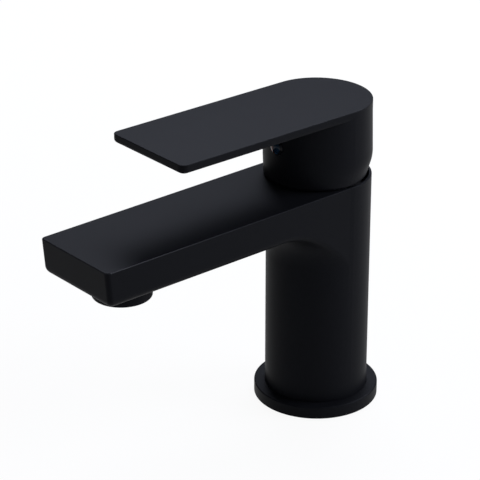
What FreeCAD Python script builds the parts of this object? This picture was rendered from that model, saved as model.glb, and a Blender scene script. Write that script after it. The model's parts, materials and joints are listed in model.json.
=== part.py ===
import FreeCAD, Part
import math
import os

# A single-lever basin mixer, in millimetres. The origin is the centre of the base on the basin deck.
# +Z points up, the spout and the lever point along -Y, and the cold side is +X.

# Clearances
SEAT_CLEARANCE = 0.1
RUNNING_CLEARANCE = 0.06
SLIDE_CLEARANCE = 0.12
MOTION_GAP = 0.3
DISC_FILM = 0.02

# Body casting and spout
ANNULUS_GAP = 2.1
CAST_WALL = 2.9
RIM_WALL = 1.1
LOWER_WALL = 3.5
BODY_TOP = 106.0
COUNTERBORE_DEPTH = 7.2
PORT_HEIGHT = 44.0
SPOUT_REACH = 106.2
SPOUT_NOSE = 23.7
SPOUT_THICKNESS = 16.0
SPOUT_SIDE_SETBACK = 0.1
SPOUT_DRAFT = 0.4
SPOUT_TIP_LEAN = 1.4
SPOUT_CORNER_RADIUS = 2.0
SPOUT_LOWER_EDGE_RADIUS = 3.6
SPOUT_FLOOR_WALL = 2.4
SPOUT_SIDE_WALL = 2.8
SPOUT_TIP_WALL = 3.0
COLLAR_RADIUS = 20.0
COLLAR_WALL = 2.4
FEED_DEPTH = 2.8
FEED_HALF_WIDTH = 7.0
TOP_EDGE_RADIUS = 0.5

# Base flange, its gasket and the fastenings under the body
FLANGE_RADIUS = 27.3
FLANGE_TOP = 5.75
FLANGE_LEDGE_THICKNESS = 2.4
FLANGE_EDGE_RADIUS = 0.6
SPIGOT_STEP = 1.6
GASKET_PROUD = 0.3
GASKET_THICKNESS = 2.0
GASKET_INNER_MARGIN = 1.0
GASKET_OUTER_MARGIN = 1.2
PORT_X = 7.5
PORT_Y = -6.0
PORT_RADIUS = 4.5
PORT_DEPTH = 12.0
INLET_RADIUS = 3.0
STUD_Y = 9.0
STUD_RADIUS = 3.4
STUD_DEPTH = 16.0

# Cartridge, whose radius sets the width of the body
CARTRIDGE_RADIUS = 17.5
HOUSING_WALL = 2.1
SHOULDER_THICKNESS = 2.4
NECK_WALL = 2.3
NECK_HEIGHT = 9.0
NECK_STEP = 1.0
LAND_HEIGHT = 4.0
HOUSING_SEAL_RADIUS = 0.85
BASE_THICKNESS = 7.8
BASE_FOOT_THICKNESS = 4.0
SEAL_WALL = 1.15
SEAL_HEIGHT = 3.5
PEG_RADIUS = 2.0
PEG_LENGTH = 3.0
PEG_X = 9.0
PEG_Y = 8.0
OUTLET_CHANNEL_HALF_WIDTH = 3.2
OUTLET_CHANNEL_HEIGHT = 3.0
NUT_THREAD_STEP = 1.5
NUT_THICKNESS = 3.4
NUT_SLOT_COUNT = 6
NUT_SLOT_WIDTH = 3.0
NUT_SLOT_DEPTH = 1.5
WASHER_THICKNESS = 0.8
WASHER_MARGIN = 0.5

# Ceramic discs and the carrier that slides the upper one
DISC_THICKNESS = 4.0
FIXED_DISC_MARGIN = 0.6
MOVING_DISC_RADIUS = 10.2
DISC_INLET_X = 4.2
DISC_INLET_Y = -7.2
DISC_INLET_RADIUS = 2.2
DISC_OUTLET_Y = 2.5
DISC_OUTLET_RADIUS = 3.0
CHAMBER_RADIUS = 6.1
CHAMBER_Y = 0.9
CHAMBER_DEPTH = 2.4
CARRIER_THICKNESS = 4.6
CARRIER_RIM_WALL = 1.4
CARRIER_RIM_DROP = 2.6
CARRIER_PLAY = 0.2
TOWER_WALL = 1.4
TOWER_HALF_WIDTH = 3.2

# Stem guide that turns in the neck, its pin and its stop
SPINDLE_RADIUS = 9.8
GUIDE_FLANGE_THICKNESS = 4.6
GUIDE_PLAY = 0.1
GUIDE_EAR_HEIGHT = 3.2
GUIDE_SEAL_INNER_MARGIN = 1.5
GUIDE_SEAL_WIDTH = 1.8
GUIDE_SEAL_HEIGHT = 1.2
PIN_RADIUS = 2.0
PIN_FIT = 0.02
PIN_END_MARGIN = 0.4
SWING_ANGLE = 50.0
STOP_PLAY_ANGLE = 2.0
LUG_WIDTH = 3.0
LUG_HEIGHT = 2.0
LIMIT_SKIRT_HEIGHT = 2.5
LIMIT_RIM_HEIGHT = 2.2

# Lever stem
LIFT_ANGLE = 22.0
PIVOT_ABOVE_BODY = 9.6
BALL_ARM = 10.0
BALL_RADIUS = 2.3
ARM_RADIUS = 1.5
BLADE_HALF_WIDTH = 3.0
BLADE_HALF_DEPTH = 3.5
BLADE_DROP = 6.0
STEM_HALF = 4.0
STEM_SQUARE_RISE = 5.6

# Handle: the round cap and the flat lever plate, one casting
HANDLE_HEIGHT = 34.1
HANDLE_GAP = 0.5
CAP_OVERHANG = 0.4
CAP_FLARE = 0.45
CAP_OFFSET = 0.9
SKIRT_CURVE_HEIGHT = 10.5
SKIRT_CURVE_RADIUS = 14.0
SKIRT_TAPER_ANGLE = 20.0
SKIRT_LIP = 1.9
SKIRT_EDGE_RADIUS = 1.0
SKIRT_SECTION_COUNT = 6
CAP_CEILING_THICKNESS = 5.0
LEVER_LENGTH = 92.6
LEVER_THICKNESS = 3.9
LEVER_RISE = 1.0
LEVER_CORNER_RADIUS = 3.0
LEVER_LOWER_EDGE_RADIUS = 1.6
LEVER_TOP_EDGE_RADIUS = 0.3
SOCKET_WALL = 2.4
SOCKET_DEPTH = 10.0
SCREW_ABOVE_BODY = 17.4
SCREW_RADIUS = 2.45
SCREW_LENGTH = 9.0
SCREW_BOSS_WALL = 1.6
SCREW_KEY_FLATS = 2.5
SCREW_KEY_DEPTH = 2.6
PLUG_RADIUS = 3.6
PLUG_DEPTH = 2.6
PLUG_DOME = 1.9
MARK_RADIUS = 2.9
MARK_DEPTH = 1.3
MARK_DIVIDER = 0.3

# Aerator
NOZZLE_RADIUS = 10.1
NOZZLE_BORE_RADIUS = 8.0
NOZZLE_LENGTH = 3.1
AERATOR_RADIUS = 12.4
AERATOR_HEIGHT = 8.25
AERATOR_TOP_GAP = 0.2
AERATOR_LIP = 2.8
AERATOR_EDGE_RADIUS = 0.6
AERATOR_SEAL_THICKNESS = 1.5
SCREEN_THICKNESS = 0.5
SCREEN_HOLE_RADIUS = 0.55
SCREEN_HOLE_PITCH = 1.9
INSERT_FLANGE_THICKNESS = 0.8
INSERT_RECESS = 0.3
INSERT_HOLE_RADIUS = 0.95
INSERT_HOLE_PITCH = 2.6
HOLE_RIM = 0.7

# Radii that follow from the cartridge
ANNULUS_RADIUS = CARTRIDGE_RADIUS + ANNULUS_GAP
BODY_RADIUS = ANNULUS_RADIUS + CAST_WALL
COUNTERBORE_RADIUS = BODY_RADIUS - RIM_WALL
LAND_RADIUS = CARTRIDGE_RADIUS + SEAT_CLEARANCE
NUT_RADIUS = CARTRIDGE_RADIUS + NUT_THREAD_STEP
HOUSING_BORE = CARTRIDGE_RADIUS - HOUSING_WALL
NECK_BORE = SPINDLE_RADIUS + RUNNING_CLEARANCE
NECK_RADIUS = NECK_BORE + NECK_WALL
NUT_BORE = NECK_RADIUS + MOTION_GAP
CAP_RADIUS = BODY_RADIUS + CAP_OVERHANG

# Heights of the cartridge stack, from the counterbore down to the seat
NUT_TOP = BODY_TOP - COUNTERBORE_DEPTH
NUT_BOTTOM = NUT_TOP - NUT_THICKNESS
SHOULDER_TOP = NUT_BOTTOM - WASHER_THICKNESS
SHOULDER_BOTTOM = SHOULDER_TOP - SHOULDER_THICKNESS
GUIDE_FLANGE_TOP = SHOULDER_BOTTOM - GUIDE_PLAY
GUIDE_BOTTOM = GUIDE_FLANGE_TOP - GUIDE_FLANGE_THICKNESS
CARRIER_TOP = GUIDE_BOTTOM - CARRIER_PLAY
MOVING_DISC_TOP = CARRIER_TOP - CARRIER_THICKNESS
MOVING_DISC_BOTTOM = MOVING_DISC_TOP - DISC_THICKNESS
FIXED_DISC_TOP = MOVING_DISC_BOTTOM - DISC_FILM
FIXED_DISC_BOTTOM = FIXED_DISC_TOP - DISC_THICKNESS
SEAT = FIXED_DISC_BOTTOM - BASE_THICKNESS
BASE_FOOT_TOP = SEAT + BASE_FOOT_THICKNESS
LAND_BOTTOM = SHOULDER_TOP - LAND_HEIGHT
NECK_TOP = SHOULDER_TOP + NECK_HEIGHT
LIMIT_SEAT = NECK_TOP - LIMIT_SKIRT_HEIGHT

# Heights and travel of the lever
PIVOT = BODY_TOP + PIVOT_ABOVE_BODY
BALL = PIVOT - BALL_ARM
GUIDE_TOP = PIVOT + GUIDE_EAR_HEIGHT
BLADE_BOTTOM = PIVOT - BLADE_DROP
STEM_SQUARE_BOTTOM = PIVOT + STEM_SQUARE_RISE
DISC_TRAVEL = BALL_ARM * math.sin(math.radians(LIFT_ANGLE))
BALL_RISE = BALL_ARM * (1 - math.cos(math.radians(LIFT_ANGLE)))
DISC_Y = DISC_TRAVEL / 2
HANDLE_TOP = BODY_TOP + HANDLE_HEIGHT
SKIRT_BOTTOM = BODY_TOP + HANDLE_GAP
SKIRT_CURVE_TOP = SKIRT_BOTTOM + SKIRT_CURVE_HEIGHT
CAP_CEILING = HANDLE_TOP - CAP_CEILING_THICKNESS
LEVER_SLOPE = LEVER_RISE / LEVER_LENGTH
SCREW_HEIGHT = BODY_TOP + SCREW_ABOVE_BODY
STEM_TOP = CAP_CEILING - MOTION_GAP
SOCKET_BOTTOM = CAP_CEILING - SOCKET_DEPTH

# Spout planes
UNDERSIDE = BODY_TOP - SPOUT_THICKNESS
COLLAR_BOTTOM = UNDERSIDE - COLLAR_RADIUS
SPOUT_TIP = SPOUT_REACH + SPOUT_NOSE
ROOT_HALF_WIDTH = BODY_RADIUS - SPOUT_SIDE_SETBACK
TIP_HALF_WIDTH = ROOT_HALF_WIDTH - SPOUT_DRAFT
CHANNEL_REAR = COUNTERBORE_RADIUS + SPOUT_FLOOR_WALL
CHANNEL_HALF_WIDTH = TIP_HALF_WIDTH - SPOUT_SIDE_WALL
FEED_FRONT = CHANNEL_REAR + FEED_DEPTH
BODY_BOTTOM = GASKET_PROUD + SEAT_CLEARANCE

# Aerator stack, from the nozzle down
NOZZLE_BOTTOM = UNDERSIDE - NOZZLE_LENGTH
AERATOR_TOP = UNDERSIDE - AERATOR_TOP_GAP
AERATOR_BOTTOM = AERATOR_TOP - AERATOR_HEIGHT
AERATOR_BORE = NOZZLE_RADIUS + SEAT_CLEARANCE
SCREEN_TOP = NOZZLE_BOTTOM - AERATOR_SEAL_THICKNESS
INSERT_TOP = SCREEN_TOP - SCREEN_THICKNESS
INSERT_LEDGE = INSERT_TOP - INSERT_FLANGE_THICKNESS
AERATOR_OUTLET_RADIUS = AERATOR_RADIUS - AERATOR_LIP

TOLERANCE = 0.01
HALF_TURN = 180.0
FULL_TURN = 360.0
HEXAGON_SIDES = 6
SIDES = (-1, 1)


def vec(x, y, z):
    return FreeCAD.Vector(x, y, z)


def cylinder(radius, bottom, top, x=0.0, y=0.0):
    return Part.makeCylinder(radius, top - bottom, vec(x, y, bottom))


def ring(outer, inner, bottom, top, x=0.0, y=0.0):
    return cylinder(outer, bottom, top, x, y).cut(cylinder(inner, bottom, top, x, y))


def block(x_range, y_range, z_range):
    sizes = [high - low for low, high in (x_range, y_range, z_range)]
    return Part.makeBox(*sizes, vec(x_range[0], y_range[0], z_range[0]))


def centred_block(half_x, half_y, z_range):
    return block((-half_x, half_x), (-half_y, half_y), z_range)


def rod_between(start, end, radius):
    return Part.makeCylinder(radius, (end - start).Length, start, end - start)


def rod_along_x(radius, half_length, z):
    return rod_between(vec(-half_length, 0, z), vec(half_length, 0, z), radius)


def rod_along_y(radius, y_range, z):
    return rod_between(vec(0, y_range[0], z), vec(0, y_range[1], z), radius)


def prism(points, direction):
    return Part.Face(Part.makePolygon(points + points[:1])).extrude(direction)


def revolved(edges):
    return Part.Face(Part.Wire(edges)).revolve(vec(0, 0, 0), vec(0, 0, 1), FULL_TURN)


def line_chain(points):
    return [Part.makeLine(a, b) for a, b in zip(points[:-1], points[1:])]


def middle(edge):
    return edge.valueAt((edge.FirstParameter + edge.LastParameter) / 2)


def edges_where(shape, test):
    return [edge for edge in shape.Edges if test(edge, middle(edge))]


def top_outline(shape, height):
    """Outer edges of the flat face at the given height."""
    faces = [f for f in shape.Faces if abs(f.BoundBox.ZMin - height) + f.BoundBox.ZLength < TOLERANCE]
    return max(faces, key=lambda face: face.Area).OuterWire.Edges


def ring_of_points(pitch, limit):
    """Points on concentric rings that are one pitch apart, out to a limiting radius."""
    points = [(0.0, 0.0)]
    for index in range(1, int(limit / pitch) + 1):
        count = HEXAGON_SIDES * index
        for step in range(count):
            angle = FULL_TURN * step / count
            x = index * pitch * math.cos(math.radians(angle))
            y = index * pitch * math.sin(math.radians(angle))
            points.append((x, y))
    return points


def collar_height(radius):
    """Height of the concave collar under the spout, at a distance from the body's axis."""
    run = BODY_RADIUS + COLLAR_RADIUS - radius
    return COLLAR_BOTTOM + math.sqrt(COLLAR_RADIUS ** 2 - run ** 2)


def spout_half_width(y):
    return ROOT_HALF_WIDTH + SPOUT_DRAFT * y / SPOUT_TIP


def collar_and_disc(bottom):
    """Body cylinder that flares through the collar's quarter circle into a disc as thick as the spout."""
    rim = BODY_RADIUS + COLLAR_RADIUS
    bend = COLLAR_RADIUS * math.cos(math.radians(HALF_TURN / 4))
    start = vec(BODY_RADIUS, 0, COLLAR_BOTTOM)
    end = vec(rim, 0, UNDERSIDE)
    arc = Part.Arc(start, vec(rim - bend, 0, COLLAR_BOTTOM + bend), end).toShape()
    below = line_chain([vec(0, 0, bottom), vec(BODY_RADIUS, 0, bottom), start])
    above = line_chain([end, vec(rim, 0, BODY_TOP), vec(0, 0, BODY_TOP), vec(0, 0, bottom)])
    return revolved(below + [arc] + above)


def spout_solid():
    """The spout with its collar, cut off square at the body's axis."""
    bottom = COLLAR_BOTTOM - COLLAR_RADIUS / 2
    lower_tip = SPOUT_TIP_LEAN - SPOUT_TIP
    side = [(0, BODY_TOP), (-SPOUT_TIP, BODY_TOP), (lower_tip, UNDERSIDE), (0, UNDERSIDE)]
    bar = prism([vec(-BODY_RADIUS, y, z) for y, z in side], vec(2 * BODY_RADIUS, 0, 0))
    plan = [(ROOT_HALF_WIDTH, 0), (TIP_HALF_WIDTH, -SPOUT_TIP)]
    outline = plan + [(-x, y) for x, y in reversed(plan)]
    trim = prism([vec(x, y, bottom) for x, y in outline], vec(0, 0, BODY_TOP - bottom))
    solid = collar_and_disc(bottom).fuse(bar).removeSplitter().common(trim).removeSplitter()

    def at_tip_corner(edge, point):
        return edge.BoundBox.ZLength > SPOUT_THICKNESS / 2 and point.y < -SPOUT_TIP / 2

    solid = solid.makeFillet(SPOUT_CORNER_RADIUS, edges_where(solid, at_tip_corner))

    def along_lower_edge(edge, point):
        below = bottom + TOLERANCE < point.z < UNDERSIDE + TOLERANCE
        on_side = abs(abs(point.x) - spout_half_width(point.y)) < TOLERANCE and point.y < -TOLERANCE
        at_tip = point.y < lower_tip + SPOUT_CORNER_RADIUS and edge.BoundBox.ZLength < TOLERANCE
        return below and (on_side or at_tip)

    return solid.makeFillet(SPOUT_LOWER_EDGE_RADIUS, edges_where(solid, along_lower_edge))


def waterways():
    """Everything that is hollow in the body: cartridge chamber, inlets, spout channel and nozzle bore."""
    channel_floor = UNDERSIDE + SPOUT_FLOOR_WALL
    channel_roof = BODY_TOP - SPOUT_FLOOR_WALL
    feed_floor = collar_height(FEED_FRONT) + COLLAR_WALL
    feed = (-FEED_HALF_WIDTH, FEED_HALF_WIDTH)
    channel = (-CHANNEL_HALF_WIDTH, CHANNEL_HALF_WIDTH)
    hollows = [
        cylinder(BODY_RADIUS - LOWER_WALL, BODY_BOTTOM, PORT_HEIGHT),
        cylinder(STUD_RADIUS, PORT_HEIGHT, PORT_HEIGHT + STUD_DEPTH, 0, STUD_Y),
        cylinder(ANNULUS_RADIUS, SEAT, LAND_BOTTOM),
        cylinder(LAND_RADIUS, LAND_BOTTOM, SHOULDER_TOP),
        cylinder(NUT_RADIUS + SEAT_CLEARANCE, SHOULDER_TOP, NUT_TOP),
        cylinder(COUNTERBORE_RADIUS, NUT_TOP, BODY_TOP),
        block(feed, (-FEED_FRONT, -CARTRIDGE_RADIUS), (feed_floor, LAND_BOTTOM)),
        block(feed, (-FEED_FRONT, -CHANNEL_REAR), (feed_floor, channel_roof)),
        block(channel, (SPOUT_TIP_WALL - SPOUT_TIP, -CHANNEL_REAR), (channel_floor, channel_roof)),
        cylinder(NOZZLE_BORE_RADIUS, NOZZLE_BOTTOM, channel_roof, 0, -SPOUT_REACH),
    ]
    peg_hole = PEG_RADIUS + SEAT_CLEARANCE
    for side in SIDES:
        hollows.append(cylinder(PORT_RADIUS, PORT_HEIGHT, PORT_HEIGHT + PORT_DEPTH, side * PORT_X, PORT_Y))
        hollows.append(cylinder(INLET_RADIUS, PORT_HEIGHT, SEAT, side * PORT_X, PORT_Y))
        peg_floor = SEAT - PEG_LENGTH - SEAT_CLEARANCE
        hollows.append(cylinder(peg_hole, peg_floor, SEAT, side * PEG_X, PEG_Y))
    return hollows


def body_casting():
    spout = spout_solid()
    spout_edges = [edge for edge in top_outline(spout, BODY_TOP) if middle(edge).y < -TOLERANCE]
    spout = spout.makeFillet(TOP_EDGE_RADIUS, spout_edges)
    column = cylinder(BODY_RADIUS, BODY_BOTTOM, BODY_TOP)
    column = column.makeFillet(TOP_EDGE_RADIUS, top_outline(column, BODY_TOP))
    outer = column.fuse(spout).removeSplitter()
    spigot_top = GASKET_PROUD + FLANGE_LEDGE_THICKNESS
    step = ring(BODY_RADIUS + SPIGOT_STEP, BODY_RADIUS - SPIGOT_STEP, BODY_BOTTOM, spigot_top)
    nozzle = cylinder(NOZZLE_RADIUS, NOZZLE_BOTTOM, UNDERSIDE + SPOUT_FLOOR_WALL / 2, 0, -SPOUT_REACH)
    return outer.cut(step).fuse(nozzle).cut(waterways())


def flange_bore():
    return BODY_RADIUS - SPIGOT_STEP + SEAT_CLEARANCE


def gasket_radii():
    return FLANGE_RADIUS - GASKET_OUTER_MARGIN, flange_bore() + GASKET_INNER_MARGIN


def base_flange():
    flange = cylinder(FLANGE_RADIUS, GASKET_PROUD, FLANGE_TOP)
    flange = flange.makeFillet(FLANGE_EDGE_RADIUS, top_outline(flange, FLANGE_TOP))
    ledge = GASKET_PROUD + FLANGE_LEDGE_THICKNESS
    outer, inner = gasket_radii()
    groove = ring(outer + SEAT_CLEARANCE, inner - SEAT_CLEARANCE, GASKET_PROUD, GASKET_THICKNESS)
    bore = cylinder(flange_bore(), GASKET_PROUD, FLANGE_TOP)
    recess = cylinder(BODY_RADIUS + SEAT_CLEARANCE, ledge, FLANGE_TOP)
    return flange.cut([groove, bore, recess])


def base_gasket():
    outer, inner = gasket_radii()
    return ring(outer, inner, 0, GASKET_THICKNESS)


def housing_seal_height():
    return (LAND_BOTTOM + SHOULDER_TOP) / 2


def cartridge_housing():
    """Fixed shell that holds the discs and carries the stem guide in its neck."""
    shell = cylinder(CARTRIDGE_RADIUS, BASE_FOOT_TOP, SHOULDER_TOP)
    neck = cylinder(NECK_RADIUS, SHOULDER_TOP, NECK_TOP)
    ledge = ring(NECK_RADIUS + NECK_STEP, NECK_RADIUS - NECK_STEP, LIMIT_SEAT, NECK_TOP)
    inside = cylinder(HOUSING_BORE, BASE_FOOT_TOP, SHOULDER_BOTTOM)
    bore = cylinder(NECK_BORE, SHOULDER_BOTTOM, NECK_TOP)
    half_groove = HOUSING_SEAL_RADIUS + SEAT_CLEARANCE
    centre = housing_seal_height()
    floor = LAND_RADIUS - 2 * half_groove
    groove = ring(LAND_RADIUS, floor, centre - half_groove, centre + half_groove)
    return shell.fuse(neck).cut([ledge, inside, bore, groove])


def housing_seal():
    ring_radius = LAND_RADIUS - SEAT_CLEARANCE / 2 - HOUSING_SEAL_RADIUS
    return Part.makeTorus(ring_radius, HOUSING_SEAL_RADIUS, vec(0, 0, housing_seal_height()))


def seal_pocket_radius():
    return INLET_RADIUS + SEAL_WALL + SEAT_CLEARANCE


def cartridge_base():
    """Foot of the cartridge: two inlets, an outlet that opens to the rear and two locating pegs."""
    foot = cylinder(CARTRIDGE_RADIUS, SEAT, BASE_FOOT_TOP)
    spigot = cylinder(HOUSING_BORE - SEAT_CLEARANCE, BASE_FOOT_TOP, FIXED_DISC_BOTTOM)
    pegs = [cylinder(PEG_RADIUS, SEAT - PEG_LENGTH, BASE_FOOT_TOP, side * PEG_X, PEG_Y) for side in SIDES]
    base = foot.fuse([spigot] + pegs)
    channel = (-OUTLET_CHANNEL_HALF_WIDTH, OUTLET_CHANNEL_HALF_WIDTH)
    cuts = [
        cylinder(DISC_OUTLET_RADIUS, SEAT, FIXED_DISC_BOTTOM, 0, DISC_OUTLET_Y),
        block(channel, (DISC_OUTLET_Y, CARTRIDGE_RADIUS), (SEAT, SEAT + OUTLET_CHANNEL_HEIGHT)),
    ]
    for side in SIDES:
        pocket_top = SEAT + SEAL_HEIGHT
        cuts.append(cylinder(seal_pocket_radius(), SEAT, pocket_top, side * PORT_X, PORT_Y))
        low = vec(side * PORT_X, PORT_Y, pocket_top - DISC_INLET_RADIUS)
        high = vec(side * DISC_INLET_X, DISC_INLET_Y, FIXED_DISC_BOTTOM + DISC_INLET_RADIUS)
        cuts.append(rod_between(low, high, DISC_INLET_RADIUS))
    return base.cut(cuts)


def port_seals():
    """Rubber sleeve between the body's seat and the cartridge, one at each inlet."""
    outer = seal_pocket_radius() - SEAT_CLEARANCE
    top = SEAT + SEAL_HEIGHT
    return [ring(outer, INLET_RADIUS, SEAT, top, side * PORT_X, PORT_Y) for side in SIDES]


def fixed_ceramic_disc():
    disc = cylinder(HOUSING_BORE - FIXED_DISC_MARGIN, FIXED_DISC_BOTTOM, FIXED_DISC_TOP)
    holes = [cylinder(DISC_OUTLET_RADIUS, FIXED_DISC_BOTTOM, FIXED_DISC_TOP, 0, DISC_OUTLET_Y)]
    for side in SIDES:
        x = side * DISC_INLET_X
        holes.append(cylinder(DISC_INLET_RADIUS, FIXED_DISC_BOTTOM, FIXED_DISC_TOP, x, DISC_INLET_Y))
    return disc.cut(holes)


def moving_ceramic_disc():
    """Upper disc with the blind chamber that joins both inlets to the outlet as it slides forward."""
    disc = cylinder(MOVING_DISC_RADIUS, MOVING_DISC_BOTTOM, MOVING_DISC_TOP, 0, DISC_Y)
    roof = MOVING_DISC_BOTTOM + CHAMBER_DEPTH
    return disc.cut(cylinder(CHAMBER_RADIUS, MOVING_DISC_BOTTOM, roof, 0, CHAMBER_Y))


def groove_half_width():
    return BALL_RADIUS + SLIDE_CLEARANCE


def tower_half_depth():
    return groove_half_width() + TOWER_WALL


def disc_carrier():
    """Slide that grips the moving disc and rises through the stem guide to the ball of the stem."""
    rim_bore = MOVING_DISC_RADIUS + SEAT_CLEARANCE
    rim_radius = rim_bore + CARRIER_RIM_WALL
    rim_bottom = MOVING_DISC_TOP - CARRIER_RIM_DROP
    plate = cylinder(rim_radius, MOVING_DISC_TOP, CARRIER_TOP, 0, DISC_Y)
    rim = ring(rim_radius, rim_bore, rim_bottom, MOVING_DISC_TOP, 0, DISC_Y)
    tower = centred_block(TOWER_HALF_WIDTH, tower_half_depth(), (CARRIER_TOP, BALL + ARM_RADIUS))
    groove_floor = BALL - BALL_RADIUS - BALL_RISE
    groove = centred_block(TOWER_HALF_WIDTH, groove_half_width(), (groove_floor, BALL + ARM_RADIUS))
    return plate.fuse([rim, tower]).cut(groove)


def guide_seal_radii():
    inner = SPINDLE_RADIUS + GUIDE_SEAL_INNER_MARGIN
    return inner + GUIDE_SEAL_WIDTH, inner


def stem_guide():
    """Spindle that turns in the neck, with a slot for the stem, ears for its pin and a stop lug."""
    flange = cylinder(HOUSING_BORE - 2 * MOTION_GAP, GUIDE_BOTTOM, GUIDE_FLANGE_TOP)
    spindle = cylinder(SPINDLE_RADIUS, GUIDE_BOTTOM, GUIDE_TOP)
    lug_low = NECK_TOP + GUIDE_PLAY
    lug_half = LUG_WIDTH / 2
    lug = block((-lug_half, lug_half), (0, NECK_RADIUS - MOTION_GAP), (lug_low, lug_low + LUG_HEIGHT))
    slot_half = TOWER_HALF_WIDTH + SLIDE_CLEARANCE
    front = DISC_TRAVEL + tower_half_depth() + MOTION_GAP
    lean = GUIDE_EAR_HEIGHT * math.tan(math.radians(LIFT_ANGLE))
    rear = BLADE_HALF_DEPTH / math.cos(math.radians(LIFT_ANGLE)) + lean + MOTION_GAP
    slot = block((-slot_half, slot_half), (-front, rear), (GUIDE_BOTTOM, GUIDE_TOP))
    pin_hole = rod_along_x(PIN_RADIUS + PIN_FIT, SPINDLE_RADIUS, PIVOT)
    outer, inner = guide_seal_radii()
    seal_floor = GUIDE_FLANGE_TOP - GUIDE_SEAL_HEIGHT
    groove = ring(outer + SEAT_CLEARANCE, inner - SEAT_CLEARANCE, seal_floor, GUIDE_FLANGE_TOP)
    return flange.fuse([spindle, lug]).cut([slot, pin_hole, groove])


def guide_seal():
    outer, inner = guide_seal_radii()
    return ring(outer, inner, GUIDE_FLANGE_TOP - GUIDE_SEAL_HEIGHT, GUIDE_FLANGE_TOP)


def pivot_pin():
    return rod_along_x(PIN_RADIUS, SPINDLE_RADIUS - PIN_END_MARGIN, PIVOT)


def lever_stem():
    """Metal stem: ball and arm below the pin, a blade between the ears and a square end above."""
    width = BLADE_HALF_WIDTH
    blade = centred_block(width, BLADE_HALF_DEPTH, (BLADE_BOTTOM, STEM_SQUARE_BOTTOM))
    square = centred_block(STEM_HALF, STEM_HALF, (STEM_SQUARE_BOTTOM, STEM_TOP))
    arm = cylinder(ARM_RADIUS, BALL, BLADE_BOTTOM)
    ball = Part.makeSphere(BALL_RADIUS, vec(0, 0, BALL))
    bore = rod_along_x(PIN_RADIUS + RUNNING_CLEARANCE, width, PIVOT)
    return blade.fuse([square, arm, ball]).cut(bore)


def cartridge_nut():
    nut = ring(NUT_RADIUS, NUT_BORE, NUT_BOTTOM, NUT_TOP)
    slot_reach = (NUT_RADIUS + NUT_BORE) / 2
    half = NUT_SLOT_WIDTH / 2
    slot = block((-half, half), (0, slot_reach), (NUT_TOP - NUT_SLOT_DEPTH, NUT_TOP))
    slots = []
    for index in range(NUT_SLOT_COUNT):
        turned = slot.copy()
        turned.rotate(vec(0, 0, 0), vec(0, 0, 1), FULL_TURN * index / NUT_SLOT_COUNT)
        slots.append(turned)
    return nut.cut(slots)


def friction_washer():
    return ring(NUT_RADIUS - WASHER_MARGIN, NUT_BORE, SHOULDER_TOP, NUT_BOTTOM)


def limit_ring():
    """Ring on the neck whose open arc lets the guide's lug swing between hot and cold."""
    skirt_bore = NECK_RADIUS - NECK_STEP + SEAT_CLEARANCE
    top = NECK_TOP + LIMIT_RIM_HEIGHT
    skirt = ring(NECK_RADIUS, skirt_bore, LIMIT_SEAT, NECK_TOP)
    rim = ring(NECK_RADIUS, SPINDLE_RADIUS + MOTION_GAP, NECK_TOP, top)
    lug_angle = math.degrees(math.asin(LUG_WIDTH / 2 / SPINDLE_RADIUS))
    half_gap = math.radians(SWING_ANGLE + lug_angle + STOP_PLAY_ANGLE)
    reach = 2 * NECK_RADIUS
    corners = [vec(side * reach * math.tan(half_gap), reach, NECK_TOP) for side in SIDES]
    gap = prism([vec(0, 0, NECK_TOP)] + corners, vec(0, 0, LIMIT_RIM_HEIGHT))
    return skirt.fuse(rim.cut(gap)).removeSplitter()


def skirt_pull(height):
    """How far the rear of the cap is drawn in at a height: a curve, then a straight taper to the rim."""
    depth = max(SKIRT_CURVE_TOP - height, 0)
    taper = math.radians(SKIRT_TAPER_ANGLE)
    bend = min(depth, SKIRT_CURVE_RADIUS * math.sin(taper))
    curve = SKIRT_CURVE_RADIUS - math.sqrt(SKIRT_CURVE_RADIUS ** 2 - bend ** 2)
    return curve + (depth - bend) * math.tan(taper)


def cap_circle(height):
    """Centre along Y and radius of the cap's outside at a height: straight, then flared, then drawn in."""
    flare_depth = CAP_CEILING - min(max(height, SKIRT_CURVE_TOP), CAP_CEILING)
    flare = CAP_FLARE * flare_depth / (CAP_CEILING - SKIRT_CURVE_TOP)
    half_pull = skirt_pull(height) / 2
    return -CAP_OFFSET - half_pull, CAP_RADIUS + flare - half_pull


def cap_front():
    """Front of the cap at the height of the screw."""
    centre, radius = cap_circle(SCREW_HEIGHT)
    return centre - radius


def cap_section(height):
    centre, radius = cap_circle(height)
    return Part.Wire(Part.makeCircle(radius, vec(0, centre, height)))


def cap_shell():
    """Round cap: a straight top, a slight flare and a rear that draws in below, hollow for the cartridge."""
    step = SKIRT_CURVE_HEIGHT / SKIRT_SECTION_COUNT
    heights = [SKIRT_BOTTOM + step * index for index in range(SKIRT_SECTION_COUNT + 1)]
    skirt = Part.makeLoft([cap_section(height) for height in heights], True)
    lower = edges_where(skirt, lambda edge, point: edge.BoundBox.ZMax < SKIRT_BOTTOM + TOLERANCE)
    skirt = skirt.makeFillet(SKIRT_EDGE_RADIUS, lower)
    flare = Part.makeLoft([cap_section(SKIRT_CURVE_TOP), cap_section(CAP_CEILING)], True)
    straight = cylinder(CAP_RADIUS, CAP_CEILING, HANDLE_TOP - LEVER_THICKNESS / 2, 0, -CAP_OFFSET)
    centre, radius = cap_circle(SKIRT_BOTTOM)
    hollow = cylinder(radius - SKIRT_LIP, SKIRT_BOTTOM, CAP_CEILING, 0, centre)
    return skirt.fuse([flare, straight]).cut(hollow)


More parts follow.
